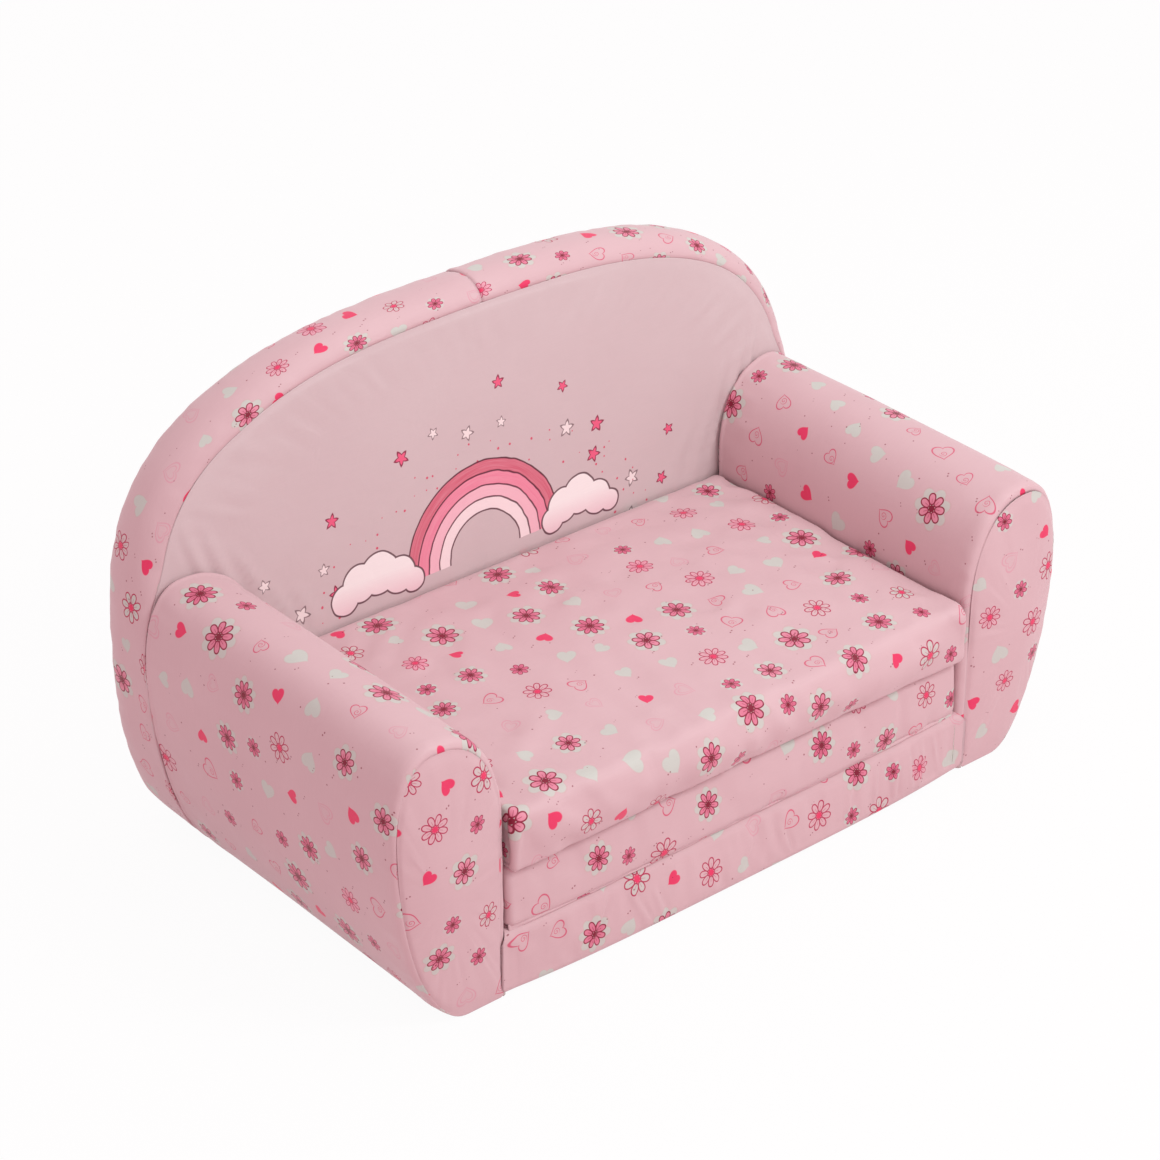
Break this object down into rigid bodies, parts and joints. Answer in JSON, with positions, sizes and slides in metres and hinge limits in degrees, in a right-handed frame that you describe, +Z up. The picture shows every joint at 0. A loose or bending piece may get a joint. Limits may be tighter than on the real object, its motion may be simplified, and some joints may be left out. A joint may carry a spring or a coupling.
{
  "type": "kids play sofa",
  "caption": "Small fold-out foam sofa for a child, with an arched back, rounded arms and a seat of layered pads that flips out into a mattress.",
  "frame": {"origin": "on the floor, under the middle of the sofa", "axes": "+X along the seat to the right as seen from the front, +Y from the front to the back, +Z up"},
  "size_m": [0.788, 0.4402, 0.46],
  "materials": {
    "printed_cloth": "smooth printed cotton and polyester cover cloth",
    "plain_cloth": "smooth cover cloth with a printed picture panel",
    "lining_cloth": "plain lining cloth",
    "foam": "cut polyurethane foam",
    "zip_tape": "woven zip tape with a moulded coil",
    "zip_metal": "die-cast slider"
  },
  "bodies": {
    "sofa_body": {"back_foam": "foam", "back_front_panel": "plain_cloth", "back_rear_panel": "printed_cloth", "back_border_strip_left": "printed_cloth", "back_border_strip_right": "printed_cloth", "left_arm_foam": "foam", "left_arm_front_panel": "printed_cloth", "left_arm_wrap": "printed_cloth", "right_arm_foam": "foam", "right_arm_front_panel": "printed_cloth", "right_arm_wrap": "printed_cloth", "base_foam": "foam", "base_front_panel": "printed_cloth", "base_deck_cloth": "lining_cloth", "underside_cloth": "lining_cloth", "front_hinge_cloth": "printed_cloth", "body_zip_tape": "zip_tape"},
    "body_zip_pull": {"body_zip_slider": "zip_metal"},
    "middle_pad": {"middle_pad_foam": "foam", "middle_pad_wrap": "printed_cloth", "middle_pad_gusset_left": "printed_cloth", "middle_pad_gusset_right": "printed_cloth", "middle_pad_zip_tape": "zip_tape", "rear_hinge_cloth": "lining_cloth"},
    "middle_pad_zip_pull": {"middle_pad_zip_slider": "zip_metal"},
    "top_pad": {"top_pad_foam": "foam", "top_pad_wrap": "printed_cloth", "top_pad_gusset_left": "printed_cloth", "top_pad_gusset_right": "printed_cloth", "top_pad_zip_tape": "zip_tape"},
    "top_pad_zip_pull": {"top_pad_zip_slider": "zip_metal"}
  },
  "joints": [
    {"name": "mattress_fold", "type": "hinge", "parent": "sofa_body", "child": "middle_pad", "pos_m": [0, -0.21365, 0.06315], "axis": [1, 0, 0], "range_deg": [0, 180], "deforming": ["front_hinge_cloth"]},
    {"name": "top_pad_fold", "type": "hinge", "parent": "middle_pad", "child": "top_pad", "pos_m": [0, 0.13565, 0.12345], "axis": [-1, 0, 0], "range_deg": [0, 180], "deforming": ["rear_hinge_cloth"]},
    {"name": "body_zip_run", "type": "slide", "parent": "sofa_body", "child": "body_zip_pull", "axis": [1, 0, 0], "range_m": [0, 0.545]},
    {"name": "middle_pad_zip_run", "type": "slide", "parent": "middle_pad", "child": "middle_pad_zip_pull", "axis": [1, 0, 0], "range_m": [0, 0.425]},
    {"name": "top_pad_zip_run", "type": "slide", "parent": "top_pad", "child": "top_pad_zip_pull", "axis": [1, 0, 0], "range_m": [0, 0.425]}
  ],
  "couplings": [
    {"joint": "top_pad_fold", "follows": "mattress_fold", "ratio": 1}
  ]
}
